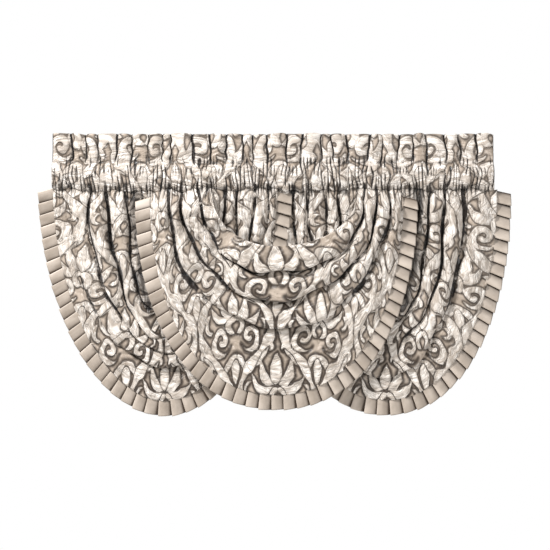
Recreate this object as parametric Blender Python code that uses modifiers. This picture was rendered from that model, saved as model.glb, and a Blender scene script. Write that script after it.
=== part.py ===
"""Waterfall valance: one gathered rod-pocket header band, three overlapping cowl swags, and a knife-pleated trim
along the hem of each swag. Units are metres, +Z is up, +X is to the viewer's right and the front faces -Y.
The origin is the middle of the header's top edge, from which everything hangs down.
"""

import math
from collections import namedtuple

import bmesh
import bpy
import numpy as np

# Driving sizes of the header band
HEADER_WIDTH = 1.235
RUFFLE_HEIGHT = 0.081
POCKET_HEIGHT = 0.076
HEADER_HEIGHT = RUFFLE_HEIGHT + POCKET_HEIGHT
RUFFLE_FOLDS = 28

# Driving sizes shared by the swags and their trims
CLOTH = 0.0015
TRIM_CLOTH = 0.0010
TRIM_WIDTH = 0.042
TRIM_UNDERLAP = 0.006
PLEAT_PITCH = 0.0325
PLEAT_DEPTH = 0.0040
SEWING_GAP = 0.0003
SEAM_GAP = 0.0008
LIP_POWER = 2.1

# Each swag's hem is half a superellipse: its middle, its half widths, its drop below the header, and how square it is.
# layer is how far the swag stands in front of the seam, inner_back how far its left end is pushed back.
Swag = namedtuple("Swag", "name middle half_left half_right drop power layer seam inner_back folds trim_start")

# A fold's row gives the distance from the hem to the valley on its inner side, and the height of its ridge,
# at the left end, at the bottom and at the right end of the swag.
Fold = namedtuple("Fold", "left bottom right ridge_left ridge_bottom ridge_right")

SWAGS = (
    Swag("left", -0.302, 0.314, 0.314, 0.594, 1.9, 0.000, -0.001, 0.0, (
        Fold(0.044, 0.100, 0.025, 0.010, 0.006, 0.006),
        Fold(0.101, 0.150, 0.067, 0.024, 0.012, 0.012),
        Fold(0.154, 0.183, 0.106, 0.026, 0.014, 0.012),
        Fold(0.206, 0.240, 0.146, 0.020, 0.014, 0.012),
        Fold(0.262, 0.330, 0.190, 0.014, 0.012, 0.012),
    ), 0.004),
    Swag("centre", 0.010, 0.353, 0.353, 0.574, 2.2, -0.036, -0.008, 0.0, (
        Fold(0.053, 0.196, 0.042, 0.012, 0.012, 0.012),
        Fold(0.090, 0.272, 0.073, 0.020, 0.014, 0.018),
        Fold(0.136, 0.345, 0.101, 0.022, 0.016, 0.020),
        Fold(0.172, 0.412, 0.126, 0.024, 0.018, 0.022),
    ), 0.026),
    Swag("right", 0.316, 0.311, 0.311, 0.591, 2.15, 0.000, 0.002, 0.022, (
        Fold(0.053, 0.075, 0.097, 0.012, 0.006, 0.010),
        Fold(0.095, 0.165, 0.145, 0.012, 0.012, 0.024),
        Fold(0.136, 0.227, 0.188, 0.012, 0.014, 0.026),
        Fold(0.178, 0.290, 0.226, 0.012, 0.014, 0.020),
        Fold(0.232, 0.350, 0.266, 0.012, 0.012, 0.014),
    ), 0.004),
)


def smooth(value):
    """Eases from 0 to 1 with no slope at either end."""
    value = np.clip(value, 0.0, 1.0)
    return value * value * (3.0 - 2.0 * value)


def blend(first, second, share):
    return first + (second - first) * share


def fabric(name, colour, roughness, sheen):
    """A woven finish in the given colour."""
    material = bpy.data.materials.new(name)
    material.use_nodes = True
    shader = material.node_tree.nodes["Principled BSDF"]
    shader.inputs["Base Color"].default_value = (*colour, 1.0)
    shader.inputs["Roughness"].default_value = roughness
    shader.inputs["Metallic"].default_value = 0.0
    shader.inputs["Sheen Weight"].default_value = sheen
    return material


def add_object(name, bm, material, collection, thickness=None):
    """Turns a bmesh into a named object, thickened about its middle surface where it is a sheet."""
    mesh = bpy.data.meshes.new(name)
    bm.to_mesh(mesh)
    bm.free()
    mesh.materials.append(material)
    mesh.shade_smooth()
    mesh.set_sharp_from_angle(angle=math.radians(50))
    obj = bpy.data.objects.new(name, mesh)
    collection.objects.link(obj)
    if thickness is not None:
        solidify = obj.modifiers.new("cloth thickness", "SOLIDIFY")
        solidify.thickness = thickness
        solidify.offset = 0.0
    return obj


def sheet_mesh(points):
    """A grid of quads laid through points[row, column], an array of positions."""
    rows, columns = points.shape[:2]
    bm = bmesh.new()
    bmesh.ops.create_grid(bm, x_segments=columns - 1, y_segments=rows - 1, size=1.0)
    for vert in bm.verts:
        column = round((vert.co.x + 1.0) / 2.0 * (columns - 1))
        row = round((vert.co.y + 1.0) / 2.0 * (rows - 1))
        vert.co = points[row, column]
    return bm


# Header band: a strip folded over at the top, stitched once under the ruffle and once at its lower edge

HeaderLevel = namedtuple("HeaderLevel", "height half_depth gather")

RUFFLE_LEVELS = (
    HeaderLevel(0.0, 0.0016, 0.0062),
    HeaderLevel(-0.042, 0.0020, 0.0045),
)
POCKET_LEVELS = (
    HeaderLevel(-RUFFLE_HEIGHT, 0.0030, 0.0020),
    HeaderLevel(-0.095, 0.0175, 0.0020),
    HeaderLevel(-0.119, 0.0205, 0.0020),
    HeaderLevel(-0.143, 0.0175, 0.0018),
    HeaderLevel(-HEADER_HEIGHT, 0.0125, 0.0010),
)
TUNNEL_LEVELS = (
    HeaderLevel(-0.088, 0.0, 0.0020),
    HeaderLevel(-0.097, 0.0155, 0.0020),
    HeaderLevel(-0.119, 0.0190, 0.0020),
    HeaderLevel(-0.141, 0.0155, 0.0018),
    HeaderLevel(-0.150, 0.0, 0.0010),
)


def ruffle_columns():
    """The header's columns as (x, gather), where gather runs from -1 on a ridge to 1 in a valley."""
    widths = [1.0 + 0.24 * math.sin(2.4 * i + 0.7) + 0.14 * math.sin(5.1 * i) for i in range(RUFFLE_FOLDS)]
    scale = HEADER_WIDTH / sum(widths)
    columns = []
    start = -HEADER_WIDTH / 2
    for number, width in enumerate(widths):
        ridge = -1.0 + 0.25 * math.sin(3.3 * number)
        columns.append((start, 0.0 if number == 0 else 0.9))
        columns.append((start + 0.20 * width * scale, ridge))
        columns.append((start + 0.80 * width * scale, ridge))
        start += width * scale
    columns.append((HEADER_WIDTH / 2, 0.0))
    return columns


def loop_at(x, gather, levels, closed_ends):
    """One cross-section: up the front through the levels and down the back."""
    front = [(x, gather * level.gather - level.half_depth, level.height) for level in levels]
    back = [(x, gather * level.gather + level.half_depth, level.height) for level in levels]
    if closed_ends:
        return front + back[-2:0:-1]
    return front + back[::-1]


def skin(bm, loops):
    """Joins each loop of points to the next with quads, and returns the vertices of every loop."""
    rings = [[bm.verts.new(point) for point in loop] for loop in loops]
    for ring, following in zip(rings, rings[1:]):
        for i in range(len(ring)):
            j = (i + 1) % len(ring)
            bm.faces.new((ring[i], ring[j], following[j], following[i]))
    return rings


def build_header(collection, material):
    """The band as one solid: a doubled ruffle above, and a pocket below with an open tunnel for the rod."""
    columns = ruffle_columns()
    bm = bmesh.new()
    outer_levels = RUFFLE_LEVELS + POCKET_LEVELS
    outer = skin(bm, [loop_at(x, gather, outer_levels, False) for x, gather in columns])
    inner = skin(bm, [loop_at(x, gather, TUNNEL_LEVELS, True) for x, gather in columns])
    for end in (0, -1):
        rims = outer[end] + inner[end]
        edges = [edge for edge in bm.edges if edge.verts[0] in rims and edge.verts[1] in rims]
        bmesh.ops.triangle_fill(bm, use_beauty=True, use_dissolve=False, edges=edges)
    bmesh.ops.recalc_face_normals(bm, faces=bm.faces)
    return add_object("header_band", bm, material, collection)


# Swag panels: each is one sheet, laid in nested U-shaped folds from its hem up to its cowl lip

SWAG_COLUMNS = 33
HEM_PHASES = (0.0, 0.16, 0.36, 0.58, 0.80, 0.93)
FOLD_PHASES = (0.0, 0.12, 0.36, 0.64, 0.90)
LIP_PHASES = (0.0, 0.12, 0.36, 0.64, 0.86, 1.0)
FACING_DROP = 0.014
FACING_BACK = 0.010
VALLEY_WANDER = 0.004
OVERHANG = 0.005
SEAM_EASE = 0.075
SEAM_GATHER = 0.12
BELLY = 0.012


def swag_angles():
    """Angles along the U from the left end to the right end, closer together near the seam."""
    share = np.linspace(0.0, 1.0, SWAG_COLUMNS)
    return math.pi * (share - 0.06 * np.sin(2.0 * math.pi * share))


def hem_distances(swag, number, angle):
    """Distance from the hem to valley `number` at the left, bottom and right, with the valley's own wander."""
    if number == 0:
        return 0.0, 0.0, 0.0
    fold = swag.folds[number - 1]
    wander = 0.0
    if number < len(swag.folds):
        wander = VALLEY_WANDER * math.sin(5.0 * angle + 1.9 * number + 3.0 * swag.middle)
    return fold.left + wander, fold.bottom + wander, fold.right + wander


def ridge_shape(number, last, phase, bottomness):
    """How far the cloth stands forward, from 0 in a valley to 1 on the ridge. Side folds are round pipes, and
    the bottom ones lap over the fold below like shingles."""
    pipe = max(math.sin(math.pi * phase), 0.0) ** 0.6
    if number == 0:
        side = smooth(phase / 0.5) if phase < 0.5 else pipe
        bottom = 1.0 - phase**3
    elif number == last:
        side = pipe if phase < 0.5 else 1.0 - 0.2 * smooth((phase - 0.5) / 0.5)
        bottom = min(phase / 0.12, 1.0) ** 0.7 * (1.0 - 0.25 * phase)
    else:
        side = pipe
        bottom = min(phase / 0.12, 1.0) ** 0.7 * max(1.0 - phase, 0.0) ** 0.8
    return blend(side, bottom, bottomness)


def swag_point(swag, number, phase, angle, facing=0.0):
    """A point of the swag's middle surface: fold `number`, at `phase` from its hem side to its lip side."""
    last = len(swag.folds) - 1
    fold = swag.folds[number]
    on_left = math.cos(angle) > 0.0
    along = abs(math.cos(angle))
    down = abs(math.sin(angle))
    bottomness = down**3
    near = hem_distances(swag, number, angle)
    far = hem_distances(swag, number + 1, angle)
    side_inset = blend(near[0 if on_left else 2], far[0 if on_left else 2], phase)
    bottom_inset = blend(near[1], far[1], phase)
    inset_share = (number + phase) / len(swag.folds)
    power = blend(swag.power, LIP_POWER, inset_share)
    half = (swag.half_left if on_left else swag.half_right) - side_inset
    drop = swag.drop - bottom_inset
    side = -1.0 if on_left else 1.0
    x = swag.middle + side * half * along ** (2.0 / power)
    depth = drop * down ** (2.0 / power)
    outward = np.array((side * along * drop, -down * half))
    outward /= np.linalg.norm(outward)
    seam_share = smooth(depth / SEAM_EASE)
    ridge_side = fold.ridge_left if on_left else fold.ridge_right
    ridge = blend(ridge_side, fold.ridge_bottom, down**2) * blend(SEAM_GATHER, 1.0, seam_share)
    overhang = 0.0
    if number > 0:
        overhang = OVERHANG * bottomness * math.exp(-(((phase - 0.12) / 0.14) ** 2))
    overhang += facing * FACING_DROP * seam_share
    x += outward[0] * overhang
    z = -HEADER_HEIGHT - SEAM_GAP - depth + outward[1] * overhang * seam_share
    leftness = smooth((swag.middle - x) / swag.half_left)
    y = blend(swag.seam, swag.layer, smooth(depth / SEAM_EASE))
    y += swag.inner_back * leftness * blend(0.5, 1.0, seam_share)
    y -= BELLY * bottomness * inset_share
    y -= ridge * ridge_shape(number, last, phase, bottomness)
    y += facing * FACING_BACK * blend(SEAM_GATHER, 1.0, seam_share)
    return x, y, z


def swag_rows(swag):
    """(fold number, phase, facing) of every row of the sheet, from the hem to the turned-back facing."""
    rows = [(0, phase, 0.0) for phase in HEM_PHASES]
    last = len(swag.folds) - 1
    for number in range(1, last):
        rows += [(number, phase, 0.0) for phase in FOLD_PHASES]
    rows += [(last, phase, 0.0) for phase in LIP_PHASES]
    rows += [(last, 1.0, 0.5), (last, 1.0, 1.0)]
    return rows


def build_swag(swag, collection, material):
    rows = swag_rows(swag)
    points = np.array([[swag_point(swag, n, p, a, f) for a in swag_angles()] for n, p, f in rows])
    return add_object("swag_" + swag.name, sheet_mesh(points), material, collection, CLOTH)


# Pleated trims: a flat strip knife-pleated along its length, its root sewn behind the hem

TRIM_OFFSETS = (-TRIM_UNDERLAP, TRIM_WIDTH)
FLAP_END = 0.86
CURVE_SAMPLES = 400


def hem_curve(swag):
    """The hem as a fine polyline of (x, y, z) positions, with the distance run along it. Its y is that of the
    swag's own facets, so that the trim lies evenly behind them."""
    angles = np.linspace(0.0, math.pi, CURVE_SAMPLES)
    points = np.array([swag_point(swag, 0, 0.0, angle) for angle in angles])
    facets = [swag_point(swag, 0, 0.0, angle)[1] for angle in swag_angles()]
    points[:, 1] = np.interp(angles, swag_angles(), facets)
    steps = np.linalg.norm(np.diff(points[:, [0, 2]], axis=0), axis=1)
    return points, np.concatenate([[0.0], np.cumsum(steps)])


def at_distance(points, run, distance):
    return np.array([np.interp(distance, run, points[:, axis]) for axis in range(3)])


def build_trim(swag, collection, material):
    points, run = hem_curve(swag)
    first, last = swag.trim_start, run[-1] - swag.trim_start
    pleats = round((last - first) / PLEAT_PITCH)
    pitch = (last - first) / pleats
    stations = []
    for pleat in range(pleats):
        stations.append((first + pleat * pitch, 1.0))
        stations.append((first + (pleat + FLAP_END) * pitch, 0.0))
    stations.append((last, 1.0))
    grid = np.zeros((len(TRIM_OFFSETS), len(stations), 3))
    clear = (CLOTH + TRIM_CLOTH) / 2 + SEWING_GAP
    for column, (distance, tuck) in enumerate(stations):
        here = at_distance(points, run, distance)
        step = at_distance(points, run, distance + 0.002) - at_distance(points, run, distance - 0.002)
        outward = np.array((step[2], 0.0, -step[0]))
        outward /= np.linalg.norm(outward)
        for row, offset in enumerate(TRIM_OFFSETS):
            grid[row, column] = here + outward * offset
            grid[row, column, 1] += clear + tuck * PLEAT_DEPTH
    return add_object("trim_" + swag.name, sheet_mesh(grid), material, collection, TRIM_CLOTH)


def clear_scene():
    for obj in list(bpy.data.objects):
        bpy.data.objects.remove(obj)


def build_valance():
    clear_scene()
    collection = bpy.data.collections.new("waterfall_valance")
    bpy.context.scene.collection.children.link(collection)
    damask = fabric("damask cloth", (0.56, 0.51, 0.46), 0.62, 0.25)
    sateen = fabric("sateen trim", (0.52, 0.46, 0.40), 0.55, 0.15)
    build_header(collection, damask)
    for swag in SWAGS:
        build_swag(swag, collection, damask)
        build_trim(swag, collection, sateen)


build_valance()
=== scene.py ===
import math
from collections import namedtuple

import bpy
import numpy as np
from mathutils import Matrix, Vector


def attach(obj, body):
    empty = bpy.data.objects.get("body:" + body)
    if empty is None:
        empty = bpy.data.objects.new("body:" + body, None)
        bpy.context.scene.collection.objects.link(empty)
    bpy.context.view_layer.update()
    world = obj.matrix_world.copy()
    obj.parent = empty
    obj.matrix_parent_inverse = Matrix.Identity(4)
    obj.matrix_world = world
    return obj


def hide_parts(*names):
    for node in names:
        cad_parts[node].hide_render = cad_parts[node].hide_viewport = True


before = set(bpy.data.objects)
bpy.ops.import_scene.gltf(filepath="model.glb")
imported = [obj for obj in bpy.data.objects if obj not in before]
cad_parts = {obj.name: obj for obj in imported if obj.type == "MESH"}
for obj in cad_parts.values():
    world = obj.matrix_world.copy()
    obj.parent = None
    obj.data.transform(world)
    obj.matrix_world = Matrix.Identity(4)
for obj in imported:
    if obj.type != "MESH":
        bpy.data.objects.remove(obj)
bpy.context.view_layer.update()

# Studio: the valance hangs face on in front of a white surround, over a pale floor well below it.
# A small bright light from the upper left draws the folds, a broad weaker one fills from the right,
# and a third keeps the back readable.

VIEW_CENTRE = Vector((0.0056, 0.0, -0.395))
VIEW_WIDTH = 1.54
LENS_MM = 100.0
SURROUND_LIGHT = 0.20
FLOOR_DROP = 1.6
FLOOR_RADIUS = 2.3
FLOOR_COLOUR = (0.86, 0.85, 0.83, 1.0)


def aim(thing, target):
    thing.rotation_euler = (target - thing.location).to_track_quat("-Z", "Y").to_euler()


def studio_light(name, place, size, watts):
    lamp = bpy.data.lights.new(name, "AREA")
    lamp.size = size
    lamp.energy = watts
    light = bpy.data.objects.new(name, lamp)
    bpy.context.scene.collection.objects.link(light)
    light.location = place
    aim(light, VIEW_CENTRE)


camera_data = bpy.data.cameras.new("photo_camera")
camera_data.lens = LENS_MM
camera = bpy.data.objects.new("photo_camera", camera_data)
bpy.context.scene.collection.objects.link(camera)
camera.location = VIEW_CENTRE - Vector((0.0, VIEW_WIDTH * LENS_MM / camera_data.sensor_width, 0.0))
aim(camera, VIEW_CENTRE)
bpy.context.scene.camera = camera
bpy.context.scene.view_settings.view_transform = "Standard"

studio_light("key_light", place=(-2.1, -1.8, 2.1), size=0.5, watts=226.0)
studio_light("fill_light", place=(2.4, -2.8, 0.9), size=1.6, watts=76.0)
studio_light("back_light", place=(0.6, 2.4, 0.8), size=1.6, watts=62.0)

world = bpy.data.worlds.new("white_surround")
world.use_nodes = True
bpy.context.scene.world = world
surround = world.node_tree.nodes["Background"]
surround.inputs["Color"].default_value = (1.0, 1.0, 1.0, 1.0)
seen_or_lit = world.node_tree.nodes.new("ShaderNodeMapRange")
seen_or_lit.inputs["To Min"].default_value = SURROUND_LIGHT
seen_or_lit.inputs["To Max"].default_value = 1.0
ray_kind = world.node_tree.nodes.new("ShaderNodeLightPath")
world.node_tree.links.new(ray_kind.outputs["Is Camera Ray"], seen_or_lit.inputs["Value"])
world.node_tree.links.new(seen_or_lit.outputs["Result"], surround.inputs["Strength"])

bpy.ops.mesh.primitive_circle_add(
    vertices=96, radius=FLOOR_RADIUS, fill_type="NGON", location=(0.0, 0.0, -FLOOR_DROP)
)
floor = bpy.context.object
floor.name = "pale_floor"
floor_paint = bpy.data.materials.new("pale floor paint")
floor_paint.use_nodes = True
floor_shader = floor_paint.node_tree.nodes["Principled BSDF"]
floor_shader.inputs["Base Color"].default_value = FLOOR_COLOUR
floor_shader.inputs["Roughness"].default_value = 0.9
floor.data.materials.append(floor_paint)


# Damask: the cloth of the heading and the swags is a jacquard with a silver figure that crinkles up
# from a taupe satin ground. The figure is an ogee lattice of ribbons with palmettes and curled
# scrolls between them. Each vertex stores how far inside the figure's three layers it lies.

FIGURE_SCALE = 0.90
REPEAT_WIDTH = 0.33
REPEAT_HEIGHT = 0.44
RIBBON_HALF_WIDTH = 0.0150
RIBBON_SWAY = 0.84
RIBBON_LOBES = 0.32
STROKE_SWAY = 0.0070
STROKE_WOBBLE = 0.0020
FLAT_SWELL = -0.0011
CROWDED_SWELL = 0.0019
UNEVEN_SWELL = 0.0014
CROWDED_OUTLINE_AND_SHADE = 0.74
NOISE_CELLS = 61

STROKE_EDGE = 0.0006
LINE_CORE = 0.0009
LINE_END = 0.0034
RIM_SHADE_WIDTH = 0.0036
INNER_LINE_DEPTH = 0.0056
SWAY_PER_METRE = 14.0
SWAY_REACH = 0.045
FIGURE_RELIEF = 0.0036
STREAK_RELIEF = 0.0034
RIB_RELIEF = 0.00005
CLOTH_SHEEN = 0.15
SHEEN_ROUGHNESS = 0.45

WHITE = (1, 1, 1, 1)
SILVER_BRIGHT = (0.82, 0.765, 0.71, 1)
SILVER_DULL = (0.58, 0.525, 0.47, 1)
SILVER_RIM_PAINTED_SHADE = (0.44, 0.37, 0.305, 1)
SILVER_STREAK_SHADE = (0.36, 0.30, 0.245, 1)
SILVER_HATCH_SHADE = (0.33, 0.27, 0.215, 1)
SILVER_INNER_LINE = (0.32, 0.26, 0.205, 1)
TAUPE_LIGHT = (0.46, 0.38, 0.31, 1)
TAUPE_DARK = (0.33, 0.268, 0.212, 1)
TAUPE_PAINTED_SHADE = (0.040, 0.026, 0.017, 1)
CREASE_PAINTED_SHADE = (0.14, 0.105, 0.078, 1)
OUTLINE_COLOUR = (0.034, 0.022, 0.014, 1)
DAMASK_SHADOW = (0.026, 0.015, 0.008, 1)

Leaf = namedtuple("Leaf", "root bend tip half_width")
Scroll = namedtuple("Scroll", "centre outer inner start turn half_width end_half_width")

SIDE_LEAVES = (
    Leaf((0.012, 0.036), (0.062, 0.050), (0.056, 0.124), 0.0185),
    Leaf((0.016, 0.020), (0.080, 0.004), (0.104, 0.072), 0.0165),
    Leaf((0.000, -0.098), (0.046, -0.112), (0.050, -0.168), 0.0130),
    Leaf((0.100, 0.090), (0.044, 0.110), (0.030, 0.186), 0.0130),
    Leaf((0.132, -0.046), (0.134, -0.100), (0.060, -0.128), 0.0130),
)
MIDDLE_LEAVES = (
    Leaf((0.000, 0.040), (0.000, 0.085), (0.000, 0.132), 0.0215),
    Leaf((0.000, -0.112), (0.000, -0.140), (0.000, -0.196), 0.0165),
)
SCROLLS = (
    Scroll((0.062, -0.044), 0.047, 0.007, 215.0, 470.0, 0.0135, 0.0085),
    Scroll((0.000, -0.010), 0.026, 0.026, -90.0, 180.0, 0.0110, 0.0110),
    Scroll((0.104, 0.012), 0.024, 0.018, 100.0, -190.0, 0.0080, 0.0060),
    Scroll((0.036, 0.150), 0.022, 0.006, 260.0, -330.0, 0.0085, 0.0060),
)


def smooth(value):
    """Eases from 0 to 1 with no slope at either end."""
    value = np.clip(value, 0.0, 1.0)
    return value * value * (3.0 - 2.0 * value)


def blend(first, second, share):
    return first + (second - first) * share


def leaf_path(leaf):
    """The middle line of a leaf, bent from root to tip, and its half width along it."""
    share = np.linspace(0.0, 1.0, 9)
    root, bend, tip = (np.array(point)[:, None] for point in (leaf.root, leaf.bend, leaf.tip))
    line = (1.0 - share) ** 2 * root + 2.0 * share * (1.0 - share) * bend + share**2 * tip
    return line, leaf.half_width * 1.08 * np.sin(math.pi * (0.12 + 0.88 * share) ** 0.85) ** 1.1


def scroll_path(scroll):
    """The middle line of a scroll, which curls from its outer to its inner radius."""
    share = np.linspace(0.0, 1.0, max(9, int(abs(scroll.turn) / 18.0)))
    angle = np.radians(scroll.start + scroll.turn * share)
    radius = blend(scroll.outer, scroll.inner, share)
    line = np.array(scroll.centre)[:, None] + radius * np.array([np.cos(angle), np.sin(angle)])
    taper = smooth(share / 0.30 + 0.15) * smooth((1.0 - share) / 0.10 + 0.45)
    return line, blend(scroll.half_width, scroll.end_half_width, share) * taper


def ribbon_path():
    """The ribbon that sways between one column of motifs and the next."""
    height = np.linspace(-0.55, 0.55, 33) * REPEAT_HEIGHT
    across = REPEAT_WIDTH / 4.0 * (1.0 + RIBBON_SWAY * np.cos(2.0 * math.pi * height / REPEAT_HEIGHT))
    lobes = 1.0 + RIBBON_LOBES * np.cos(10.0 * math.pi * height / REPEAT_HEIGHT)
    return np.array([across, height]), RIBBON_HALF_WIDTH * lobes


def depth_inside(x, y, path):
    """How far inside a stroke each point lies, in metres, and below zero outside it."""
    line, half_widths = path
    deepest = np.full(x.shape, -1.0)
    for start, end, first, second in zip(line.T[:-1], line.T[1:], half_widths[:-1], half_widths[1:]):
        run = end - start
        share = ((x - start[0]) * run[0] + (y - start[1]) * run[1]) / (run @ run)
        share = np.clip(share, 0.0, 1.0)
        away = np.hypot(x - start[0] - share * run[0], y - start[1] - share * run[1])
        deepest = np.maximum(deepest, blend(first, second, share) - away)
    return deepest


def cloth_noise(across, up, seed):
    """Smooth bumps from -1 to 1, about one to each unit of across and up."""
    heights = np.random.default_rng(seed).uniform(-1.0, 1.0, (NOISE_CELLS, NOISE_CELLS))
    column, row = np.floor(across).astype(int), np.floor(up).astype(int)
    ease_x, ease_y = smooth(across - column), smooth(up - row)

    def corner(rows_up, columns_across):
        return heights[(row + rows_up) % NOISE_CELLS, (column + columns_across) % NOISE_CELLS]

    low = blend(corner(0, 0), corner(0, 1), ease_x)
    high = blend(corner(1, 0), corner(1, 1), ease_x)
    return blend(low, high, ease_y)


def damask_layers(across, up, crowded):
    """Depth inside the side leaves, the middle leaves, and the scrolls and ribbons that lie on top.
    The motif repeats in columns, each a half repeat lower than the last, and mirrors about its own
    middle. Its strokes wander a little, and are wider where the cloth is crowded into gathers."""
    swell = blend(FLAT_SWELL, CROWDED_SWELL, crowded)
    swell = swell + UNEVEN_SWELL * cloth_noise(across * 40.0, up * 40.0, 13)
    sway_across, sway_up = (
        STROKE_SWAY * cloth_noise(across * 21.0, up * 21.0, seed)
        + STROKE_WOBBLE * cloth_noise(across * 60.0, up * 60.0, seed + 5)
        for seed in (11, 12)
    )
    across, up = (across + sway_across) / FIGURE_SCALE, (up + sway_up) / FIGURE_SCALE
    x = np.abs((across + REPEAT_WIDTH / 2) % REPEAT_WIDTH - REPEAT_WIDTH / 2)
    y = (up + REPEAT_HEIGHT / 2) % REPEAT_HEIGHT - REPEAT_HEIGHT / 2
    next_x = REPEAT_WIDTH / 2 - x
    next_y = up % REPEAT_HEIGHT - REPEAT_HEIGHT / 2
    layers = []
    for paths in (
        [leaf_path(leaf) for leaf in SIDE_LEAVES],
        [leaf_path(leaf) for leaf in MIDDLE_LEAVES],
        [scroll_path(scroll) for scroll in SCROLLS],
    ):
        depths = [depth_inside(x, y, path) for path in paths]
        depths += [depth_inside(next_x, next_y, path) for path in paths]
        layers.append(np.maximum.reduce(depths))
    layers[2] = np.maximum(layers[2], depth_inside(x, y, ribbon_path()))
    return np.stack(layers, axis=-1) * FIGURE_SCALE + swell[..., None]


def add_node(tree, kind, inputs=None, **settings):
    """Adds a shader node, with its settings, and its inputs filled by values or by nodes' outputs."""
    node = tree.nodes.new(kind)
    for setting, value in settings.items():
        setattr(node, setting, value)
    for key, value in (inputs or {}).items():
        if isinstance(value, bpy.types.NodeSocket):
            tree.links.new(value, node.inputs[key])
        else:
            node.inputs[key].default_value = value
    return node


def combine(tree, operation, first, *others):
    """Takes two or more values together, in turn, by one operation of arithmetic."""
    result = first
    for value in others:
        result = add_node(tree, "ShaderNodeMath", {0: result, 1: value}, operation=operation).outputs[0]
    return result


def absolute(tree, value):
    return add_node(tree, "ShaderNodeMath", {0: value}, operation="ABSOLUTE").outputs[0]


def ramp(tree, value, low, high, to_low=0.0, to_high=1.0):
    inputs = {"Value": value, "From Min": low, "From Max": high, "To Min": to_low, "To Max": to_high}
    ramped = add_node(tree, "ShaderNodeMapRange", inputs, interpolation_type="SMOOTHSTEP")
    return ramped.outputs["Result"]


def share_of(tree, share, first, second):
    return add_node(tree, "ShaderNodeMix", {0: share, 2: first, 3: second}).outputs[0]


def tint(tree, share, first, second, blend_type="MIX"):
    inputs = {0: share, 6: first, 7: second}
    return add_node(tree, "ShaderNodeMix", inputs, data_type="RGBA", blend_type=blend_type).outputs[2]


def stored_value(tree, name, output="Fac"):
    return add_node(tree, "ShaderNodeAttribute", attribute_name=name).outputs[output]


def speckle(tree, cloth, per_metre, detail, stretch=(1.0, 1.0, 1.0), twist=0.0):
    """Noise that is fixed to the cloth, with a given number of bumps to the metre."""
    placed = add_node(tree, "ShaderNodeMapping", {"Vector": cloth, "Scale": stretch}).outputs["Vector"]
    inputs = {"Vector": placed, "Scale": per_metre, "Detail": detail, "Distortion": twist}
    return add_node(tree, "ShaderNodeTexNoise", inputs).outputs["Fac"]


def ribs(tree, cloth, per_metre, direction):
    """The fine ribs of a satin weave."""
    inputs = {"Vector": cloth, "Scale": per_metre}
    return add_node(tree, "ShaderNodeTexWave", inputs, bands_direction=direction).outputs["Fac"]


def cloth_shader(name):
    """A material with its cloth coordinates in metres and a plain woven sheen."""
    material = bpy.data.materials.new(name)
    material.use_nodes = True
    tree = material.node_tree
    shader = tree.nodes["Principled BSDF"]
    shader.inputs["Sheen Weight"].default_value = CLOTH_SHEEN
    shader.inputs["Sheen Roughness"].default_value = SHEEN_ROUGHNESS
    cloth = add_node(tree, "ShaderNodeUVMap", uv_map="cloth").outputs["UV"]
    return material, tree, shader, cloth


def raise_cloth(tree, shader, height):
    """Gives the cloth's surface a relief, with its height in metres."""
    bump = add_node(tree, "ShaderNodeBump", {"Height": height, "Distance": 1.0, "Strength": 0.8})
    tree.links.new(bump.outputs["Normal"], shader.inputs["Normal"])


def shaded_by_fold(tree, colour, darkest):
    """Darkens the colour towards the bottom of the folds, where the fold value is 0. On the back those
    places stand out, so the shade there is weak."""
    facing = add_node(tree, "ShaderNodeNewGeometry").outputs["Normal"]
    backward = add_node(tree, "ShaderNodeSeparateXYZ", {0: facing}).outputs["Y"]
    least = ramp(tree, backward, 0.15, 0.50, to_high=0.50)
    fold = combine(tree, "MAXIMUM", stored_value(tree, "fold"), least)
    shadow = tint(tree, ramp(tree, fold, 0.04, 0.74), darkest, WHITE)
    return tint(tree, 1.0, colour, shadow, "MULTIPLY")


def figure_parts(tree):
    """From the stored depths: where the silver figure lies, the dark line along its strokes, how deep
    a place lies inside its uppermost stroke, and how near it lies to any stroke."""
    stored = stored_value(tree, "figure", "Vector")
    layers = add_node(tree, "ShaderNodeSeparateXYZ", {0: stored}).outputs
    side, middle, top = layers
    in_side, in_middle, in_top = (ramp(tree, layer, -STROKE_EDGE, STROKE_EDGE) for layer in layers)
    side_line, middle_line, top_line = (
        ramp(tree, absolute(tree, layer), LINE_CORE, LINE_END, to_low=1.0, to_high=0.0)
        for layer in layers
    )
    below_top = combine(tree, "SUBTRACT", 1.0, in_top)
    below_middle = combine(tree, "MULTIPLY", below_top, combine(tree, "SUBTRACT", 1.0, in_middle))
    side_line = combine(tree, "MULTIPLY", side_line, below_middle)
    middle_line = combine(tree, "MULTIPLY", middle_line, below_top)
    figure = combine(tree, "MAXIMUM", in_side, in_middle, in_top)
    line = combine(tree, "MAXIMUM", side_line, middle_line, top_line)
    depth = share_of(tree, in_top, share_of(tree, in_middle, side, middle), top)
    nearest = combine(tree, "MAXIMUM", side, middle, top)
    return figure, line, depth, nearest


def pillows(tree, place, per_metre, stretch):
    """Rounded pillows with a sharp crease, where the value is 0, between one and the next."""
    bumps = speckle(tree, place, per_metre, 1.0, stretch, twist=0.6)
    return combine(tree, "POWER", absolute(tree, combine(tree, "SUBTRACT", bumps, 0.5)), 0.75)


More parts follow.
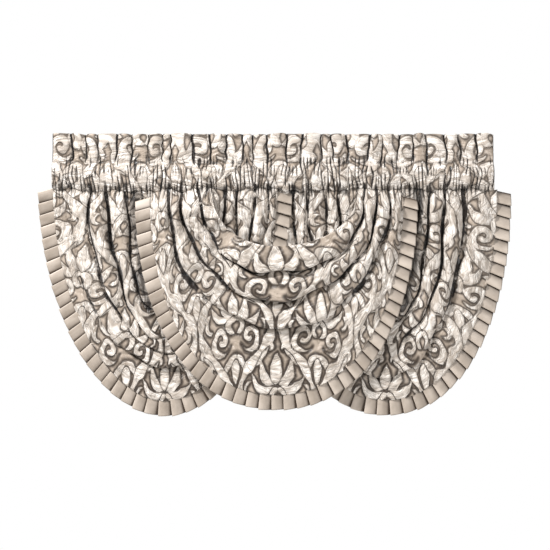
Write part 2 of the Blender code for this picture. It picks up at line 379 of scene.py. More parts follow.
def crinkles(tree, cloth, figure):
    """The crinkle of the cloth: pillows along the folds, others that cross them in patches, and the
    creases between, where shade is painted. The first thing that it gives is the swayed place that
    its streaks share."""
    drape = add_node(tree, "ShaderNodeUVMap", uv_map="drape").outputs["UV"]
    inputs = {"Vector": drape, "Scale": SWAY_PER_METRE, "Detail": 1.0}
    sway = add_node(tree, "ShaderNodeTexNoise", inputs).outputs["Color"]
    sway = add_node(tree, "ShaderNodeVectorMath", {0: sway, 3: SWAY_REACH}, operation="SCALE").outputs[0]
    swayed = add_node(tree, "ShaderNodeVectorMath", {0: drape, 1: sway}, operation="ADD").outputs[0]
    along = pillows(tree, swayed, 24.0, (0.42, 1.5, 1.0))
    crossing = pillows(tree, swayed, 27.0, (1.3, 0.6, 1.0))
    long_patches = ramp(tree, speckle(tree, cloth, 11.0, 1.0), 0.36, 0.52)
    cross_patches = ramp(tree, speckle(tree, cloth, 15.0, 1.0), 0.44, 0.60)
    crease = ramp(tree, along, 0.012, 0.062, to_low=1.0, to_high=0.0)
    cross_crease = ramp(tree, crossing, 0.010, 0.050, to_low=0.75, to_high=0.0)
    crease = combine(tree, "MULTIPLY", crease, long_patches)
    crease = combine(tree, "MAXIMUM", crease, combine(tree, "MULTIPLY", cross_crease, cross_patches))
    crease = combine(tree, "MULTIPLY", crease, ramp(tree, figure, 0.0, 1.0, to_low=0.45))
    height = combine(tree, "ADD", along, combine(tree, "MULTIPLY", crossing, cross_patches))
    return swayed, crease, height


def damask_cloth():
    """Silver threads with dark outlines over a taupe ground. Shade is painted on the rims of the
    strokes, along the streaks and creases, on the ground next to the figure and at the bottoms of the
    folds.
    """
    material, tree, shader, cloth = cloth_shader("silver figured damask")
    figure, line, depth, nearest = figure_parts(tree)
    swayed, crease, crinkle_height = crinkles(tree, cloth, figure)
    outline_and_shade = stored_value(tree, "outline_and_shade")
    mottle = speckle(tree, cloth, 22.0, 3.0)
    streak = speckle(tree, swayed, 60.0, 1.5, stretch=(0.30, 1.7, 1.0), twist=0.3)
    hatch_shade = speckle(tree, swayed, 105.0, 1.0, stretch=(0.24, 1.8, 1.0), twist=0.2)
    broken = ramp(tree, speckle(tree, cloth, 45.0, 2.0), 0.38, 0.60, to_low=0.40)

    silver = tint(tree, ramp(tree, mottle, 0.34, 0.62), SILVER_DULL, SILVER_BRIGHT)
    # Painted shade along the fine wrinkles: the streaks, which also stand in relief, and the finer
    # hatching.
    silver = tint(tree, ramp(tree, streak, 0.47, 0.60, to_high=0.62), silver, SILVER_STREAK_SHADE)
    silver = tint(tree, ramp(tree, hatch_shade, 0.50, 0.60, to_high=0.42), silver, SILVER_HATCH_SHADE)
    # Painted shade towards the edges of the strokes, so that they look rounded.
    silver = tint(tree, ramp(tree, depth, 0.0, RIM_SHADE_WIDTH), SILVER_RIM_PAINTED_SHADE, silver)
    from_inner_line = absolute(tree, combine(tree, "SUBTRACT", depth, INNER_LINE_DEPTH))
    inner_line = ramp(tree, from_inner_line, 0.0002, 0.0011, to_low=1.0, to_high=0.0)
    silver = tint(tree, combine(tree, "MULTIPLY", inner_line, broken), silver, SILVER_INNER_LINE)

    taupe = tint(tree, ramp(tree, mottle, 0.35, 0.65), TAUPE_DARK, TAUPE_LIGHT)
    # Painted shade on the ground next to the strokes, as if cast by them; wider and darker where flat.
    reach = ramp(tree, outline_and_shade, CROWDED_OUTLINE_AND_SHADE, 1.0, to_low=1.0, to_high=0.62)
    painted_ground_shade = ramp(tree, combine(tree, "MULTIPLY", nearest, reach), -0.0080, -0.0016)
    taupe = tint(tree, combine(tree, "MULTIPLY", painted_ground_shade, outline_and_shade), taupe, TAUPE_PAINTED_SHADE)

    colour = tint(tree, figure, taupe, silver)
    # Painted shade in the creases of the crinkles.
    colour = tint(tree, combine(tree, "MULTIPLY", crease, 0.52), colour, CREASE_PAINTED_SHADE)
    colour = tint(tree, combine(tree, "MULTIPLY", line, outline_and_shade, broken), colour, OUTLINE_COLOUR)
    colour = shaded_by_fold(tree, colour, DAMASK_SHADOW)
    tree.links.new(colour, shader.inputs["Base Color"])
    tree.links.new(ramp(tree, figure, 0.0, 1.0, to_low=0.42, to_high=0.68), shader.inputs["Roughness"])

    relief = combine(tree, "MULTIPLY", ramp(tree, depth, -0.0012, 0.0040), FIGURE_RELIEF)
    pucker_height = ramp(tree, figure, 0.0, 1.0, to_low=0.004, to_high=0.0105)
    puckers = combine(tree, "MULTIPLY", crinkle_height, pucker_height)
    rib_height = combine(tree, "MULTIPLY", ribs(tree, cloth, 230.0, "Y"), RIB_RELIEF)
    weave = combine(tree, "ADD", rib_height, combine(tree, "MULTIPLY", streak, STREAK_RELIEF))
    raise_cloth(tree, shader, combine(tree, "ADD", relief, puckers, weave))
    return material


def distances(points, axis):
    """How far each point lies along its row (axis 1) or its column (axis 0), in metres, from the
    middle one."""
    steps = np.linalg.norm(np.diff(points, axis=axis), axis=-1)
    run = np.insert(np.cumsum(steps, axis=axis), 0, 0.0, axis=axis)
    return run - np.take(run, [run.shape[axis] // 2], axis=axis)


def add_coordinates(mesh, name, places, faces):
    """Gives the mesh a set of flat coordinates, which its faces share at each vertex."""
    layer = mesh.uv_layers.new(name=name)
    at_corners = places.reshape(-1, 2)[faces.reshape(-1)]
    layer.data.foreach_set("uv", at_corners.astype(np.float32).reshape(-1))


def store(mesh, name, values, kind="FLOAT", field="value"):
    """Keeps a value at each vertex for the material to read."""
    attribute = mesh.attributes.new(name, kind, "POINT")
    attribute.data.foreach_set(field, values.astype(np.float32).reshape(-1))


def cloth_piece(name, points, cloth, fold, material, thickness, crowded=None):
    """A sheet of cloth laid through points[row, column], with its flat-cloth coordinates in metres and
    its fold value, from 0 at the bottom of a fold to 1 in the open, which sets the painted shade in the
    folds. For the damask, crowded says how gathered up the cloth is, from 0 where it hangs flat: the
    figure's outlines and the painted shade next to its strokes are lighter where it is gathered."""
    rows, columns = points.shape[:2]
    index = np.arange(rows * columns).reshape(rows, columns)
    corners = [index[:-1, :-1], index[:-1, 1:], index[1:, 1:], index[1:, :-1]]
    faces = np.stack(corners, axis=-1).reshape(-1, 4)
    mesh = bpy.data.meshes.new(name)
    mesh.from_pydata(points.reshape(-1, 3).tolist(), [], faces.tolist())
    add_coordinates(mesh, "cloth", cloth, faces)
    drape = np.stack([distances(points, 1), distances(points, 0)], axis=-1)
    add_coordinates(mesh, "drape", drape, faces)
    if crowded is not None:
        crowded = np.broadcast_to(crowded, (rows, columns))
        layers = damask_layers(cloth[..., 0], cloth[..., 1], crowded)
        store(mesh, "figure", layers, "FLOAT_VECTOR", "vector")
        store(mesh, "outline_and_shade", blend(1.0, CROWDED_OUTLINE_AND_SHADE, crowded))
    store(mesh, "fold", fold)
    mesh.materials.append(material)
    mesh.shade_smooth()
    piece = bpy.data.objects.new(name, mesh)
    bpy.context.scene.collection.objects.link(piece)
    solid = piece.modifiers.new("cloth thickness", "SOLIDIFY")
    solid.thickness = thickness
    solid.offset = 0.0
    return piece


damask = damask_cloth()


# Heading: one strip of the damask folded over at its top. Two rows of stitching gather it, one under
# the ruffle and one along its lower edge, and the stretch between them is the pocket for the rod,
# where the gathers break into fine crinkles.

HEADING_WIDTH = 1.235
RUFFLE_HEIGHT = 0.081
HEADING_HEIGHT = 0.157
HEADING_CLOTH = 0.0010
HEADING_STRETCH = 1.12
HEADING_CROWDING = 1.2
TAKEN_UP = 0.018
VALLEY_SHARE = 0.08
RUFFLE_FOLDS = 28
RUFFLE_WAVE = 0.0082
TOP_SCALLOP = 0.0034
TOP_UNEVEN = 0.0022
TOP_FADE = 0.03
FOLD_STRAY = 0.009
FOLD_RIPPLE = 0.0030
CRINKLE_PITCH = 0.0098
FINE_PITCH = CRINKLE_PITCH / 1.7
CRINKLE_DEPTH = 0.0034
FRONT_GATHERS = 30
BACK_GATHERS = 36
POCKET_SWALLOW = 0.0085
HEM_WAVE = 0.0062
HEM_RIPPLE = 0.0036
HEM_RISE = 0.022
SEAM_DARK = 0.66
LOWER_SEAM_SPREAD = 0.014
UPPER_SEAM_SPREAD = 0.006
HEADING_COLUMNS = 757
RUFFLE_LOWEST = 0.077
FOLD_HALF_GAP = 0.0005
VALLEY_CROWDING = 0.62
CROWDING_FADE = 0.016

SLITS_AT_AN_END = 4
SLIT_HALF_WIDTH = 0.0044
SLIT_REACH = 0.026
VALLEY_WANDER = 0.0055

HeadingLevel = namedtuple("HeadingLevel", "height half_depth wave crinkle")

HEADING_LEVELS = (
    HeadingLevel(0.000, 0.0013, 1.00, 0.00),
    HeadingLevel(0.045, 0.0018, 0.95, 0.10),
    HeadingLevel(0.070, 0.0018, 0.55, 0.60),
    HeadingLevel(0.081, 0.0012, 0.25, 1.00),
    HeadingLevel(0.090, 0.0110, 0.22, 0.95),
    HeadingLevel(0.102, 0.0178, 0.24, 0.70),
    HeadingLevel(0.120, 0.0192, 0.24, 0.55),
    HeadingLevel(0.138, 0.0172, 0.24, 0.75),
    HeadingLevel(0.149, 0.0130, 0.20, 1.00),
    HeadingLevel(0.157, 0.0098, 0.08, 0.80),
)

# The swags' sizes are set here, because the painted shade of their deepest folds reaches up into
# the pocket. A swag's drop runs from the heading to the middle of its hem, and a higher power makes
# its U squarer. layer and seam are how far back it lies in the open and at the heading, and
# inner_back is how much further back its left end lies. A fold is given by its upper valley's
# distance from the hem and by its ridge's height, at the left, the bottom and the right.
Swag = namedtuple("Swag", "name middle half_width drop power layer seam inner_back folds trim_start")
Fold = namedtuple("Fold", "left bottom right ridge_left ridge_bottom ridge_right")

SWAGS = (
    Swag("left", -0.302, 0.314, 0.594, 1.9, 0.000, -0.0076, 0.0, (
        Fold(0.044, 0.100, 0.025, 0.006, 0.008, 0.007),
        Fold(0.101, 0.150, 0.067, 0.008, 0.014, 0.013),
        Fold(0.154, 0.183, 0.106, 0.027, 0.016, 0.013),
        Fold(0.206, 0.240, 0.146, 0.022, 0.016, 0.013),
        Fold(0.274, 0.330, 0.190, 0.008, 0.012, 0.013),
    ), 0.004),
    Swag("centre", 0.010, 0.353, 0.574, 2.2, -0.036, -0.0088, 0.0, (
        Fold(0.053, 0.196, 0.042, 0.015, 0.006, 0.015),
        Fold(0.090, 0.272, 0.073, 0.024, 0.017, 0.022),
        Fold(0.136, 0.345, 0.101, 0.025, 0.023, 0.022),
        Fold(0.172, 0.412, 0.126, 0.026, 0.024, 0.024),
    ), 0.026),
    Swag("right", 0.316, 0.311, 0.591, 2.15, 0.000, -0.0066, 0.022, (
        Fold(0.053, 0.075, 0.097, 0.013, 0.008, 0.012),
        Fold(0.095, 0.165, 0.145, 0.013, 0.014, 0.025),
        Fold(0.136, 0.227, 0.188, 0.013, 0.016, 0.027),
        Fold(0.178, 0.290, 0.226, 0.013, 0.016, 0.022),
        Fold(0.232, 0.350, 0.266, 0.013, 0.012, 0.010),
    ), 0.004),
)


def heading_level(drop):
    """Half depth, wave and crinkle of the heading at a distance below its top edge."""
    heights, *columns = zip(*HEADING_LEVELS)
    return [np.interp(drop, heights, column) for column in columns]


def fold_edges():
    """Where along the heading each of the ruffle's uneven folds ends and the next begins."""
    folds = range(RUFFLE_FOLDS)
    widths = [1.0 + 0.24 * math.sin(2.4 * i + 0.7) + 0.14 * math.sin(5.1 * i) for i in folds]
    edges = np.concatenate([[0.0], np.cumsum(widths)])
    return edges / edges[-1] * HEADING_WIDTH - HEADING_WIDTH / 2


def fold_lean(x, drop):
    """How far a fold's place has strayed sideways, so that the pinched valleys don't hang straight."""
    stray = FOLD_STRAY * cloth_noise(x * 11.0, drop * 18.0, 4)
    stray = stray + FOLD_RIPPLE * cloth_noise(x * 30.0, drop * 60.0, 5)
    return stray * smooth((HEADING_WIDTH / 2 - np.abs(x)) / 0.03)


def ruffle_wave(phase):
    """The ruffle's rounded folds, from 0 in a pinched valley to 1 on a ridge."""
    lift = 0.85 + 0.15 * np.sin(3.3 * np.floor(phase))
    return np.sin(math.pi * (phase % 1.0)) ** 0.42 * lift


def taken_up(phase):
    """How many valleys have taken up their share of the cloth before a place, counted from the left."""
    valley = np.round(phase)
    return valley + smooth((phase - valley + VALLEY_SHARE) / (2.0 * VALLEY_SHARE))


def gathers(x, drop, pitch, seed):
    """Uneven upright gathers: how high each place is, from 0 in a sharp crease to 1 between creases.
    The creases wander, and each fades in and out on its way down."""
    place = x / pitch + 0.7 * cloth_noise(x / pitch * 0.45, drop * 26.0, seed + 1)
    strength = smooth(0.68 + 1.7 * cloth_noise(np.round(place) * 0.73, drop * 38.0, seed))
    return 1.0 - strength * (1.0 - np.abs(np.sin(math.pi * place)) ** 0.9)


def heading_hem(x):
    """The ups and downs of the heading's lower edge, where the swags are gathered into it."""
    level = np.zeros_like(x)
    return HEM_WAVE * cloth_noise(x * 27.0, level, 51) + HEM_RIPPLE * cloth_noise(x * 90.0, level, 52)


def seam_shadow(x, drop):
    """The uneven dark of the pinched cloth along the two rows of gathering stitches."""
    lower_seam = np.exp(-(((drop - HEADING_HEIGHT) / LOWER_SEAM_SPREAD) ** 2))
    upper_seam = np.exp(-(((drop - RUFFLE_HEIGHT) / UPPER_SEAM_SPREAD) ** 2))
    patch = smooth(0.44 + 1.5 * cloth_noise(x * 105.0, drop * 45.0, 54)) ** 2
    return 1.0 - SEAM_DARK * (lower_seam + upper_seam) * patch


def valley_insets(swag, edge, angle):
    """How far a valley lies inside the hem at the left, the bottom and the right, as it wanders."""
    if edge == 0:
        return np.zeros((3, angle.size))
    fold = swag.folds[edge - 1]
    wander = np.sin(5.0 * angle + 1.9 * edge + 3.0 * swag.middle)
    wander = wander + 0.7 * np.sin(13.0 * angle + 4.1 * edge)
    wander = wander * VALLEY_WANDER * (edge < len(swag.folds))
    return np.array([[fold.left], [fold.bottom], [fold.right]]) + wander


def slit_places():
    """Where along the heading, to the nearest millimetre, the painted shade of the swags' deepest folds
    reaches up into it: these are the outer valleys at both ends of each swag."""
    places = []
    for swag in SWAGS:
        for edge in range(1, SLITS_AT_AN_END + 1):
            insets = valley_insets(swag, edge, np.array([0.0, math.pi]))
            places.append(swag.middle - swag.half_width + insets[0, 0])
            places.append(swag.middle + swag.half_width - insets[2, 1])
    return np.round(places, 3)


def slit_shadow(x, drop):
    """Painted shade of the swags' deepest folds, which reaches up between the pocket's gathers to uneven
    heights."""
    places = slit_places()
    x = x + 0.003 * cloth_noise(x * 20.0, drop * 70.0, 55)
    away = np.abs(x[:, None] - places)
    place = places[away.argmin(axis=1)]
    reach = SLIT_REACH * (1.0 + 0.7 * cloth_noise(place * 61.0, np.zeros_like(place), 56))
    fade = smooth(1.2 - (HEADING_HEIGHT - drop) / reach)
    return 1.0 - np.exp(-((away.min(axis=1) / SLIT_HALF_WIDTH) ** 2)) * fade


def heading_surface(phase, drop, on_front):
    """Where the cloth lies at a place among the folds and a distance below its top, on its front or
    its back, with its fold value and how much of the strip's length lies before it."""
    half_depth, wave, crinkle = heading_level(drop)
    x = np.interp(phase, np.arange(RUFFLE_FOLDS + 1), fold_edges())
    x = x - fold_lean(x, drop)
    gather = ruffle_wave(phase)
    seed = FRONT_GATHERS if on_front else BACK_GATHERS
    pucker = gathers(x, drop, CRINKLE_PITCH, seed)
    fine = gathers(x, drop, FINE_PITCH, seed + 3)
    y = -RUFFLE_WAVE * (2.0 * gather - 1.0) * wave
    face = half_depth + crinkle * CRINKLE_DEPTH * (1.4 * pucker + 0.5 * fine - 1.0)
    y += -face if on_front else face
    scallop = TOP_UNEVEN * cloth_noise(x * 34.0, np.zeros_like(x), 8) + TOP_SCALLOP * (gather - 0.6)
    scallop = scallop * smooth(1.0 - drop / TOP_FADE)
    seam_wave = heading_hem(x) * smooth((drop - (HEADING_HEIGHT - HEM_RISE)) / HEM_RISE)
    place = np.stack([x, y, -drop + scallop + seam_wave], axis=-1)

    # Painted shade: ruffle slits, pocket creases, both seams, and the swags' slits reaching up.
    slit_length = smooth(1.05 + 0.6 * cloth_noise(np.round(phase), drop * 16.0, 58))
    in_ruffle = blend(1.0, smooth((gather - 0.38) / 0.15), slit_length)
    in_gathers = smooth((pucker - 0.40) / 0.44) * (0.55 + 0.45 * smooth((fine - 0.20) / 0.50))
    fold = blend(1.0, in_ruffle, smooth(wave * 1.6)) * blend(1.0, in_gathers, smooth(crinkle * 1.3))
    fold = fold * seam_shadow(x, drop) * slit_shadow(x, drop)

    swallowed = POCKET_SWALLOW * crinkle * cloth_noise(x / CRINKLE_PITCH * 0.9, drop * 14.0, seed + 7)
    cloth_run = HEADING_STRETCH * x + TAKEN_UP * taken_up(phase) + swallowed
    return place, fold, cloth_run


front_pocket = np.linspace(HEADING_HEIGHT, RUFFLE_HEIGHT, 26)
front_ruffle = np.linspace(RUFFLE_LOWEST, FOLD_HALF_GAP, 20)
back_ruffle = np.linspace(FOLD_HALF_GAP, RUFFLE_LOWEST, 6)
back_pocket = np.linspace(RUFFLE_HEIGHT, HEADING_HEIGHT, 8)
even_phase = np.linspace(0.0, RUFFLE_FOLDS, HEADING_COLUMNS)
towards_valleys = np.sin(2.0 * math.pi * even_phase) / (2.0 * math.pi)
heading_points = []
heading_cloth = []
heading_folds = []
for drops, on_front in (
    (np.concatenate([front_pocket, front_ruffle]), True),
    (np.concatenate([back_ruffle, back_pocket]), False),
):
    for level_drop in drops:
        crowding = VALLEY_CROWDING * smooth((RUFFLE_HEIGHT - level_drop) / CROWDING_FADE)
        phase = even_phase - crowding * towards_valleys
        row, row_folds, cloth_run = heading_surface(phase, np.full_like(phase, level_drop), on_front)
        heading_points.append(row)
        up = -level_drop if on_front else level_drop
        heading_cloth.append(np.stack([cloth_run, np.full_like(phase, up)], axis=-1))
        heading_folds.append(row_folds)
heading = cloth_piece(
    "gathered_heading",
    np.array(heading_points),
    np.array(heading_cloth),
    np.array(heading_folds),
    damask,
    HEADING_CLOTH,
    HEADING_CROWDING,
)
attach(heading, "root")
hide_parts("header_band")


# Swags: each is one panel of the damask, cut wide and gathered up at its two ends, so that it falls
# in nested U-shaped folds. The side folds are round pipes, the bottom ones lap over each other, and
# the upper edge hangs free as an open cowl with its facing turned to the back.

SWAG_CLOTH = 0.0010
SEAM_TUCK = 0.0030
SEAM_EASE = 0.062
SEAM_GATHER = 0.06
HEM_FADE = 0.02
LIP_POWER = 2.1
BELLY = 0.012
OVERHANG = 0.0080
FULL_RIDGE = 0.015
SLOW_UNEVEN = 0.20
QUICK_UNEVEN = 0.26
SLIT_SHARE = 0.085
SLIT_PHASE = 0.11
ROLL_END = 0.26
FACING_DROP = 0.016
FACING_BACK = 0.008
FACING_ROLL = 0.004
FACING_ROWS = (0.12, 0.25, 0.4, 0.6, 0.8, 1.0)
SWAG_COLUMNS = 330
ROW_PITCH = 0.0033
FOLD_ROWS = 26
MEASURED_LEFT = 0.14
MEASURED_RIGHT = 0.86
FLAT_BELOW = 0.30

GATHER_FADE = 0.055
PLEAT_AT_SEAM = 0.0020
PLEAT_BELOW = 0.0055
PUCKER_HEIGHT = 0.0050
RIPPLE_HEIGHT = 0.0026
EDGE_SHADE_WIDTH = 0.020
EDGE_SHADE_FROM = 0.042

FRONT_SWAG = SWAGS[1]


def swag_angles():
    """The places of a swag's columns round its U, from 0 at the left end to pi at the right end."""
    share = np.linspace(0.0, 1.0, SWAG_COLUMNS)
    return math.pi * (share - 0.05 * np.sin(2.0 * math.pi * share))


def side_profile(number, last, phase):
    """A pipe fold between two slits: how far across its width, and how high, the cloth lies, both
    from 0 to 1."""
    if number == 0 and phase < 0.5:
        return phase, float(smooth(2.0 * phase))
    if number == last and phase > 0.5:
        return phase, 1.0 - 0.25 * float(smooth(2.0 * phase - 1.0))
    share = min(max((phase - SLIT_PHASE) / (1.0 - 2.0 * SLIT_PHASE), 0.0), 1.0)
    in_slit = min(phase, 1.0 - phase, SLIT_PHASE) / SLIT_PHASE * SLIT_SHARE
    if phase < 0.5:
        across = in_slit + (0.5 - SLIT_SHARE) * (1.0 - math.cos(math.pi * share))
    else:
        across = 1.0 - in_slit - (0.5 - SLIT_SHARE) * (1.0 + math.cos(math.pi * share))
    return across, max(math.sin(math.pi * share), 0.0) ** 1.05


def bottom_profile(number, last, phase):
    """A lapping fold: the cloth rolls out over the fold below, then leans back up to the next valley.
    It gives how far across, how high and how far rolled out the cloth lies."""
    if number == 0:
        return phase, 1.0 - phase**3, 0.0
    if phase < ROLL_END:
        turn = math.pi / 2 * phase / ROLL_END
        return 0.0, math.sin(turn), math.sin(2.0 * turn)
    rise = (phase - ROLL_END) / (1.0 - ROLL_END)
    height = 1.0 - 0.3 * rise if number == last else 1.0 - rise**2.1
    return rise, height, 0.0


def swag_row(swag, number, phase, facing, angle):
    """One row of a swag's cloth, from its left end round the bottom to its right end, and its fold
    values before any creases."""
    last = len(swag.folds) - 1
    fold = swag.folds[number]
    on_left = np.cos(angle) > 0.0
    side = np.where(on_left, -1.0, 1.0)
    along, down = np.abs(np.cos(angle)), np.abs(np.sin(angle))
    bottomness = down**3
    pipe_across, pipe_height = side_profile(number, last, phase)
    lap_across, lap_height, lap_roll = bottom_profile(number, last, phase)
    across = blend(pipe_across, lap_across, bottomness)
    height = blend(pipe_height, lap_height, bottomness)

    insets = blend(valley_insets(swag, number, angle), valley_insets(swag, number + 1, angle), across)
    inset_share = (number + across) / len(swag.folds)
    power = blend(swag.power, LIP_POWER, inset_share)
    half = swag.half_width - np.where(on_left, insets[0], insets[2])
    drop = swag.drop - insets[1]
    x = swag.middle + side * half * along ** (2.0 / power)
    depth = drop * down ** (2.0 / power)
    outward_x, outward_z = side * along * drop, -down * half
    length = np.hypot(outward_x, outward_z)
    outward_x, outward_z = outward_x / length, outward_z / length

    seam_share = smooth(depth / SEAM_EASE)
    opened = blend(SEAM_GATHER, 1.0, seam_share)
    of_swag = np.full_like(angle, swag.middle)
    uneven = 1.0 + SLOW_UNEVEN * cloth_noise(angle * 2.6 + 7.0 * number, 3.0 * of_swag, 21)
    uneven = uneven + QUICK_UNEVEN * cloth_noise(angle * 8.0 + 5.0 * number, 9.0 * of_swag, 22)
    ridge_side = np.where(on_left, fold.ridge_left, fold.ridge_right)
    ridge = blend(ridge_side, fold.ridge_bottom, down**2) * opened * uneven
    deep_share = np.minimum(ridge / FULL_RIDGE / opened, 1.0)
    overhang = OVERHANG * lap_roll * bottomness * deep_share
    overhang = overhang + (facing * FACING_DROP - FACING_ROLL * math.sin(math.pi * facing)) * seam_share
    x = x + outward_x * overhang
    z = -HEADING_HEIGHT + SEAM_TUCK + heading_hem(x) * smooth(1.0 - depth / HEM_FADE) - depth
    z = z + outward_z * overhang * seam_share
    leftness = smooth((swag.middle - x) / swag.half_width)
    y = blend(swag.seam, swag.layer, seam_share)
    y = y + swag.inner_back * leftness * blend(0.2, 1.0, seam_share)
    y = y - BELLY * bottomness * inset_share - ridge * height
    y = y + FACING_BACK * math.sin(math.pi / 2 * min(2.0 * facing, 1.0)) * opened
    # Painted shade towards each fold's bottom, more in deep folds; none on the hem side of the first.
    at_hem = number == 0 and phase < 0.5
    openness = np.ones_like(x) if at_hem else 1.0 - (1.0 - height) * deep_share
    return np.stack([x, y, z], axis=-1), openness


def swag_rows(swag):
    """Fold number, phase and facing of every row, from the hem up to the lip and over its facing."""
    rows = []
    last = len(swag.folds) - 1
    start = 0.0
    for number, fold in enumerate(swag.folds):
        count = max(FOLD_ROWS, round((fold.bottom - start) / ROW_PITCH))
        shares = np.linspace(0.0, 1.0, count, endpoint=number == last)
        rows += [(number, share, 0.0) for share in shares]
        start = fold.bottom
    return rows + [(last, 1.0, facing) for facing in FACING_ROWS]


def cloth_coordinates(swag, points):
    """Flat-cloth coordinates: the U's nest as in the gathered swag, but with the lengths of cloth that
    its folds hold."""
    columns = points.shape[1]

    def run_at(share):
        column = points[:, int(share * (columns - 1))]
        return np.concatenate([[0.0], np.cumsum(np.linalg.norm(np.diff(column, axis=0), axis=1))])

    left_run, bottom_run, right_run = run_at(MEASURED_LEFT), run_at(0.5), run_at(MEASURED_RIGHT)
    lip = swag.folds[-1]
    left = left_run[-1] + (swag.half_width - lip.left) - left_run
    right = right_run[-1] + (swag.half_width - lip.right) - right_run
    low = bottom_run[-1] + (swag.drop - lip.bottom) - bottom_run
    angle = swag_angles()
    along, down = np.abs(np.cos(angle)), np.abs(np.sin(angle))
    across = np.where(np.cos(angle) > 0.0, -left[:, None] * along, right[:, None] * along)
    return np.stack([across, low.max() - low[:, None] * down], axis=-1)


def edge_shade(swag, points):
    """The deep shade on a side swag just outside the edge of the middle swag that lies over it."""
    if swag is FRONT_SWAG:
        return 1.0
    power = FRONT_SWAG.power
    across = np.abs(points[..., 0] - FRONT_SWAG.middle) / (FRONT_SWAG.half_width + EDGE_SHADE_FROM)
    down = np.maximum(-HEADING_HEIGHT - points[..., 2], 0.0) / (FRONT_SWAG.drop + EDGE_SHADE_FROM)
    outside = (across**power + down**power) ** (1.0 / power) - 1.0
    outside = outside * FRONT_SWAG.half_width / EDGE_SHADE_WIDTH
    patch = 0.75 + 0.25 * cloth_noise(points[..., 0] * 60.0, points[..., 2] * 25.0, 66)
    return 1.0 - patch * np.exp(-(outside**2)) * smooth(3.0 - 4.0 * down)


def wrinkled(points, folds, cloth, seam_drop, seed):
    """Adds the small creases: gathers that fade down from the heading, and puckers across the folds."""
    across, up = cloth[..., 0], cloth[..., 1]
    gathered = np.exp(-seam_drop / GATHER_FADE)
    pleat = gathers(points[..., 0], HEADING_HEIGHT + seam_drop * 0.6, CRINKLE_PITCH, FRONT_GATHERS)
    sway = cloth_noise(across * 9.0, up * 9.0, seed + 3)
    pucker = np.abs(cloth_noise(across * 24.0 + 2.0 * sway, up * 46.0 + 18.0 * across, seed + 2)) ** 0.6
    ripple = np.abs(cloth_noise(across * 40.0 + 2.0 * sway, up * 62.0 - 24.0 * across, seed + 4)) ** 0.6
    away = smooth(seam_drop / 0.02)
    moved = points.copy()
    moved[..., 1] -= gathered * blend(PLEAT_AT_SEAM, PLEAT_BELOW, away) * (pleat - 0.5)
    moved[..., 1] -= away * (PUCKER_HEIGHT * (pucker - 0.55) + RIPPLE_HEIGHT * (ripple - 0.55))
    # Painted shade in the creases of gathers, puckers and ripples, raggedly in slits, and at the seam.
    shade = blend(1.0, smooth((pleat - 0.36) / 0.46), gathered)
    shade = shade * blend(1.0, smooth((pucker + 0.05) / 0.35), 0.7 * away)
    shade = shade * blend(1.0, smooth((ripple + 0.10) / 0.35), 0.5 * away)
    torn = cloth_noise(points[..., 0] * 40.0, points[..., 2] * 30.0, seed + 5)
    ragged = 0.32 * (ripple - 0.5) - 0.26 * torn
    open_share = smooth((folds - 0.06 + ragged) / (0.42 + 0.28 * sway))
    return moved, open_share * shade * seam_shadow(points[..., 0], HEADING_HEIGHT + seam_drop)


swag_hems = {}
for number, swag in enumerate(SWAGS):
    made = [swag_row(swag, *row, swag_angles()) for row in swag_rows(swag)]
    smooth_points = np.array([points for points, openness in made])
    folds = np.array([openness for points, openness in made])
    cloth = cloth_coordinates(swag, smooth_points)
    seam_drop = np.maximum(-HEADING_HEIGHT + SEAM_TUCK - smooth_points[..., 2], 0.0)
    points, shades = wrinkled(smooth_points, folds, cloth, seam_drop, 40 + 10 * number)
    shades = shades * edge_shade(swag, smooth_points)
    crowded = 1.0 - np.sin(swag_angles()) ** 4 * smooth(seam_drop / FLAT_BELOW)
    piece = cloth_piece("swag_of_" + swag.name, points, cloth, shades, damask, SWAG_CLOTH, crowded)
    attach(piece, "root")
    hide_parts("swag_" + swag.name)
    # The panel is a rounded U, which fills 0.62 of its flat width times its flat height.
    swag_hems[swag.name] = smooth_points[0]


# Trims: each is a strip of plain beige sateen, knife-pleated so that every pleat laps over the next,
# pressed flat, and sewn behind its swag's hem. The free edge is left to flare a little.

TRIM_CLOTH = 0.0008
TRIM_WIDTH = 0.042
TRIM_UNDERLAP = 0.006
TRIM_ROWS = 13
SEWING_GAP = 0.0004
PLEAT_PITCH = 0.0325
PLEAT_UNDER = 0.011
PLEAT_DEPTH = 0.0075
PLEAT_TILT = 0.19
PLEAT_SHOWN = 0.032
FAN_SHARE = 0.55
CORNER_STEP = 0.0020
EDGE_FLARE = 0.35
UNEVEN_REACH = 0.0010
UNEVEN_LEAN = 0.0014
UNEVEN_LIFT = 0.0012
DIRECTION_STEP = 0.004
SLUB_RELIEF = 0.0004
SATEEN_RIB_RELIEF = 0.00004

SATEEN_DARK = (0.355, 0.295, 0.240, 1)
SATEEN_LIGHT = (0.545, 0.468, 0.398, 1)
SATEEN_SHADOW = (0.11, 0.080, 0.056, 1)

FLAP_SHARES = (0.0, 0.16, 0.26, 0.31, 0.36, 0.45, 0.60, 0.80, 0.93, 1.0)
EDGE_TURN = ((1.010, 0.06), (1.004, 0.14))
RETURN_SHARES = (0.75, 0.45, 0.10)


def pleat_section(pitch):
    """One pleat's cloth as (distance along the hem, depth from 0 to 1): the flap, its pressed edge,
    and the return under it."""
    flap_length = pitch + PLEAT_UNDER
    section = [(-PLEAT_UNDER + share * flap_length, (1.0 - share) ** 1.7) for share in FLAP_SHARES]
    section += [(pitch * along, depth) for along, depth in EDGE_TURN]
    for share in RETURN_SHARES:
        section.append((pitch - PLEAT_UNDER * (1.0 - share), 0.86 - 0.62 * share))
    return section


def pleat_shade(distance, index, rightward):
    """The fold value of a place on a pleat: a dark line where it comes out from under the pleat before
    it, then lighter towards its own edge, more so on the right. The return under it is dark."""
    if index > len(FLAP_SHARES):
        return 0.0
    step_line = float(smooth((distance - 0.0005) / 0.0060))
    shown = distance / PLEAT_SHOWN
    return step_line * blend(0.38 + 0.32 * shown, 0.32 + 0.44 * shown, rightward)


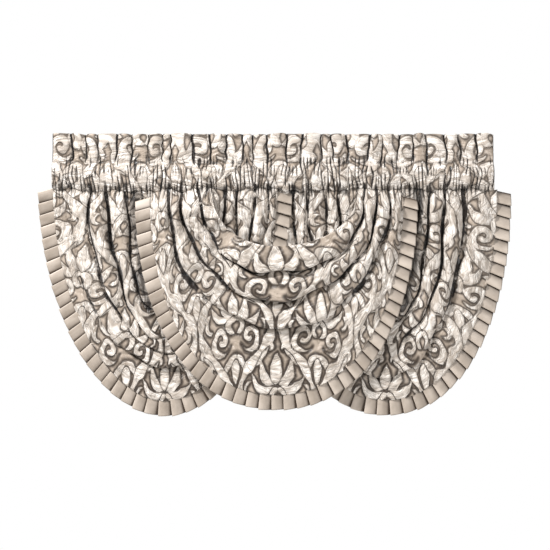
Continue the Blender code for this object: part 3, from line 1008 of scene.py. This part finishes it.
def sateen_cloth():
    """Plain beige sateen, a little mottled, with fine ribs and slubs."""
    material, tree, shader, cloth = cloth_shader("beige sateen")
    mottle = speckle(tree, cloth, 26.0, 3.0, stretch=(1.0, 0.5, 1.0))
    colour = tint(tree, ramp(tree, mottle, 0.3, 0.7), SATEEN_DARK, SATEEN_LIGHT)
    tree.links.new(shaded_by_fold(tree, colour, SATEEN_SHADOW), shader.inputs["Base Color"])
    shader.inputs["Roughness"].default_value = 0.5
    slub = speckle(tree, cloth, 160.0, 2.0, stretch=(1.0, 0.25, 1.0))
    rib_height = combine(tree, "MULTIPLY", ribs(tree, cloth, 260.0, "X"), SATEEN_RIB_RELIEF)
    weave = combine(tree, "ADD", rib_height, combine(tree, "MULTIPLY", slub, SLUB_RELIEF))
    raise_cloth(tree, shader, weave)
    return material


def pleated_trim(swag, hem, material, seed):
    """A pleated strip along a hem that is given from right to left, so that the pleats open to the
    left, and the length of cloth that it takes."""
    chance = np.random.default_rng(seed)
    run = np.concatenate([[0.0], np.cumsum(np.linalg.norm(np.diff(hem, axis=0), axis=1))])
    first, last = swag.trim_start, run[-1] - swag.trim_start
    pleats = round((last - first) / PLEAT_PITCH)
    pitch = (last - first) / pleats

    def at(distance):
        return np.array([np.interp(distance, run, hem[:, axis]) for axis in range(3)])

    def outward_at(distance):
        step = at(min(distance + DIRECTION_STEP, run[-1])) - at(max(distance - DIRECTION_STEP, 0.0))
        outward = np.array((-step[2], 0.0, step[0]))
        outward = blend(outward / np.linalg.norm(outward), np.array((0.0, 0.0, -1.0)), PLEAT_TILT)
        return outward / np.linalg.norm(outward)

    offsets = np.linspace(-TRIM_UNDERLAP, TRIM_WIDTH, TRIM_ROWS)
    free = np.maximum(offsets, 0.0) / TRIM_WIDTH
    clear = (SWAG_CLOTH + TRIM_CLOTH) / 2 + SEWING_GAP
    columns = []
    cloth_run = []
    shades = []
    used = 0.0
    for pleat in range(pleats):
        flap_outward = outward_at(first + (pleat + 0.5) * pitch)
        lean, reach, lift = chance.uniform(-1.0, 1.0, 3)
        rightward = 0.5 + 0.5 * flap_outward[0]
        flap_depth = PLEAT_DEPTH * blend(0.75, 1.25, rightward)
        section = [(distance, depth * flap_depth) for distance, depth in pleat_section(pitch)]
        for index, (distance, depth) in enumerate(section):
            place = np.clip(first + pleat * pitch + distance, first, last)
            outward = blend(outward_at(place), flap_outward, FAN_SHARE)
            outward = outward / np.linalg.norm(outward)
            sideways = np.array((-outward[2], 0.0, outward[0]))
            step_out = UNEVEN_REACH * reach + CORNER_STEP * (distance / pitch - 0.5)
            column = at(place) + offsets[:, None] * outward
            step_aside = free * UNEVEN_LEAN * lean
            column += (free * step_out)[:, None] * outward + step_aside[:, None] * sideways
            raised = UNEVEN_LIFT * free * (1.0 + lift)
            column[:, 1] += clear + depth * (1.0 + EDGE_FLARE * free) - raised
            columns.append(column)
            if index:
                used += math.dist(section[index - 1], section[index])
            cloth_run.append(used)
            shades.append(pleat_shade(distance, index, rightward))
    points = np.array(columns).transpose(1, 0, 2)
    cloth = np.stack(np.broadcast_arrays(np.array(cloth_run)[None, :], offsets[:, None]), axis=-1)
    shade = np.broadcast_to(np.array(shades), points.shape[:2])
    return cloth_piece("pleated_trim_" + swag.name, points, cloth, shade, material, TRIM_CLOTH), used


sateen = sateen_cloth()
for number, swag in enumerate(SWAGS):
    piece, used = pleated_trim(swag, swag_hems[swag.name][::-1], sateen, 70 + number)
    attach(piece, "root")
    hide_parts("trim_" + swag.name)
